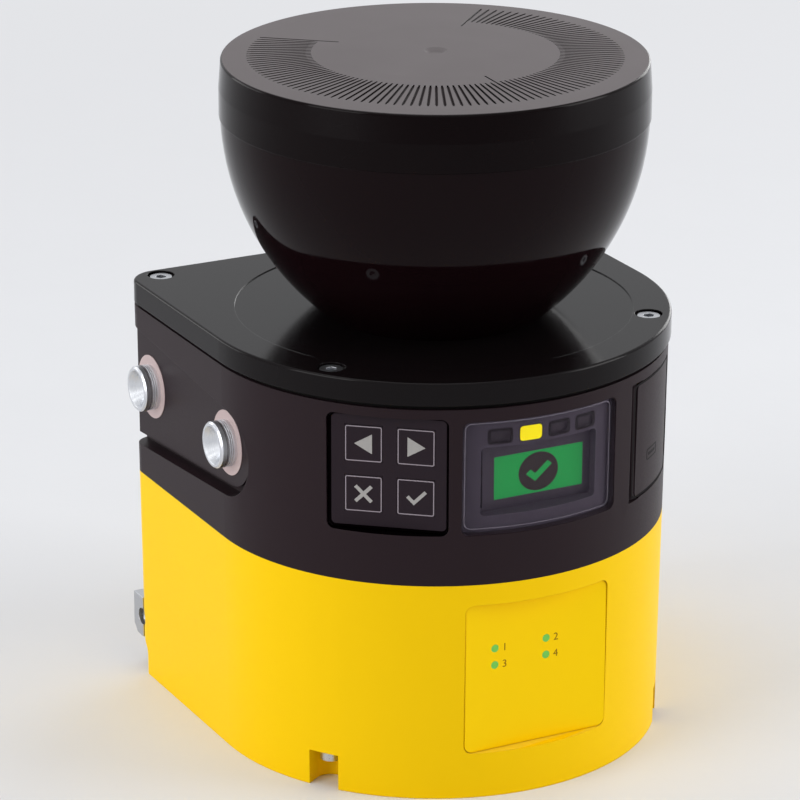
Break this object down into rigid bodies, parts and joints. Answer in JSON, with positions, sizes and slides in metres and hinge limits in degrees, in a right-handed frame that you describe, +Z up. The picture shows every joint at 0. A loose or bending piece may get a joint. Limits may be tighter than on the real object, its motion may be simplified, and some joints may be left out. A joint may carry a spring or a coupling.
{
  "type": "safety laser scanner",
  "caption": "Safety laser scanner: round-fronted yellow and black housing, dark bowl-shaped optics cover, keypad, small green display, service flap and threaded side mounting bushes.",
  "frame": {"origin": "on the scan axis, at the base plane", "axes": "+Z up along the scan axis, the front with keypad and display faces -Y, the connections face +Y, +X is to the right seen from the front"},
  "size_m": [0.1144, 0.1111, 0.1631],
  "materials": {
    "yellow_paint": "satin powder coat",
    "black_paint": "semi-matt powder coat",
    "lid_paint": "smooth semi-gloss paint",
    "cover_plastic": "infrared-passing plastic, gloss on the bowl and matt on the top",
    "gasket_rubber": "matt black rubber",
    "steel": "plain machined steel",
    "turned_steel": "turned and milled, bright",
    "bare_ring": "bare machined casting",
    "connector_metal": "nickel plated brass",
    "module_black": "moulded black plastic",
    "panel_film": "fine matt film",
    "key_film": "fine matt film",
    "window_tint": "smoked clear window",
    "tray_grey": "moulded grey plastic",
    "screen_glow": "lit screen",
    "light_off": "unlit window",
    "light_on": "lit window",
    "network_green": "green light pipe",
    "board_green": "solder mask",
    "frame_metal": "die-cast",
    "stator_copper": "varnished winding",
    "rotor_metal": "turned",
    "mirror_face": "front-coated mirror",
    "lens_glass": "tinted lens",
    "laser_brass": "turned brass barrel"
  },
  "bodies": {
    "housing": {"lower_housing": "yellow_paint", "upper_housing": "black_paint", "middle_gasket": "gasket_rubber", "lid": "lid_paint", "lid_gasket": "gasket_rubber", "lid_screws": "steel", "housing_screws": "steel", "left_front_bush": "turned_steel", "left_rear_bush": "turned_steel", "right_front_bush": "turned_steel", "right_rear_bush": "turned_steel", "bush_rings": "bare_ring", "left_lug": "turned_steel", "right_lug": "turned_steel", "optics_cover": "cover_plastic", "cover_cap": "cover_plastic", "cover_seal": "gasket_rubber", "keypad_panel": "panel_film", "keypad_board": "board_green", "display_window": "window_tint", "display_tray": "tray_grey", "display_module": "screen_glow", "status_lights": "light_off", "status_light_on": "light_on", "display_board": "board_green", "flap_hinge_pin": "steel", "service_socket": "steel", "network_panel": "yellow_paint", "network_lights": "network_green", "network_board": "board_green", "connection_module": "module_black", "module_screws": "steel", "power_connector": "connector_metal", "network_connector_a": "connector_metal", "network_connector_b": "connector_metal", "main_board": "board_green", "board_spacers": "steel", "optics_frame": "frame_metal", "rotor_bearings": "steel", "motor_stator": "stator_copper", "encoder_sensor": "module_black", "optics_barrel": "module_black", "receiver_lens": "lens_glass", "receiver_board": "board_green", "laser_module": "laser_brass"},
    "rotor": {"rotor_shaft": "steel", "motor_rotor": "rotor_metal", "encoder_disc": "rotor_metal", "mirror_holder": "module_black", "scan_mirror": "mirror_face"},
    "key_previous": {"key_previous": "key_film"},
    "key_next": {"key_next": "key_film"},
    "key_cancel": {"key_cancel": "key_film"},
    "key_confirm": {"key_confirm": "key_film"},
    "service_flap": {"service_flap": "black_paint"}
  },
  "joints": [
    {"name": "rotor_spin", "type": "hinge", "parent": "housing", "child": "rotor", "pos_m": [0, 0, 0.1], "axis": [0, 0, 1], "continuous": true},
    {"name": "key_previous_press", "type": "slide", "parent": "housing", "child": "key_previous", "axis": [0.6293, 0.7771, 0], "range_m": [0, 0.00045], "stiffness_N_per_m": 4000, "springref_m": -0.0003},
    {"name": "key_next_press", "type": "slide", "parent": "housing", "child": "key_next", "axis": [0.6293, 0.7771, 0], "range_m": [0, 0.00045], "stiffness_N_per_m": 4000, "springref_m": -0.0003},
    {"name": "key_cancel_press", "type": "slide", "parent": "housing", "child": "key_cancel", "axis": [0.6293, 0.7771, 0], "range_m": [0, 0.00045], "stiffness_N_per_m": 4000, "springref_m": -0.0003},
    {"name": "key_confirm_press", "type": "slide", "parent": "housing", "child": "key_confirm", "axis": [0.6293, 0.7771, 0], "range_m": [0, 0.00045], "stiffness_N_per_m": 4000, "springref_m": -0.0003},
    {"name": "flap_hinge", "type": "hinge", "parent": "housing", "child": "service_flap", "pos_m": [0.02641, -0.04585, 0.0645], "axis": [0, 0, -1], "range_deg": [0, 90]}
  ]
}
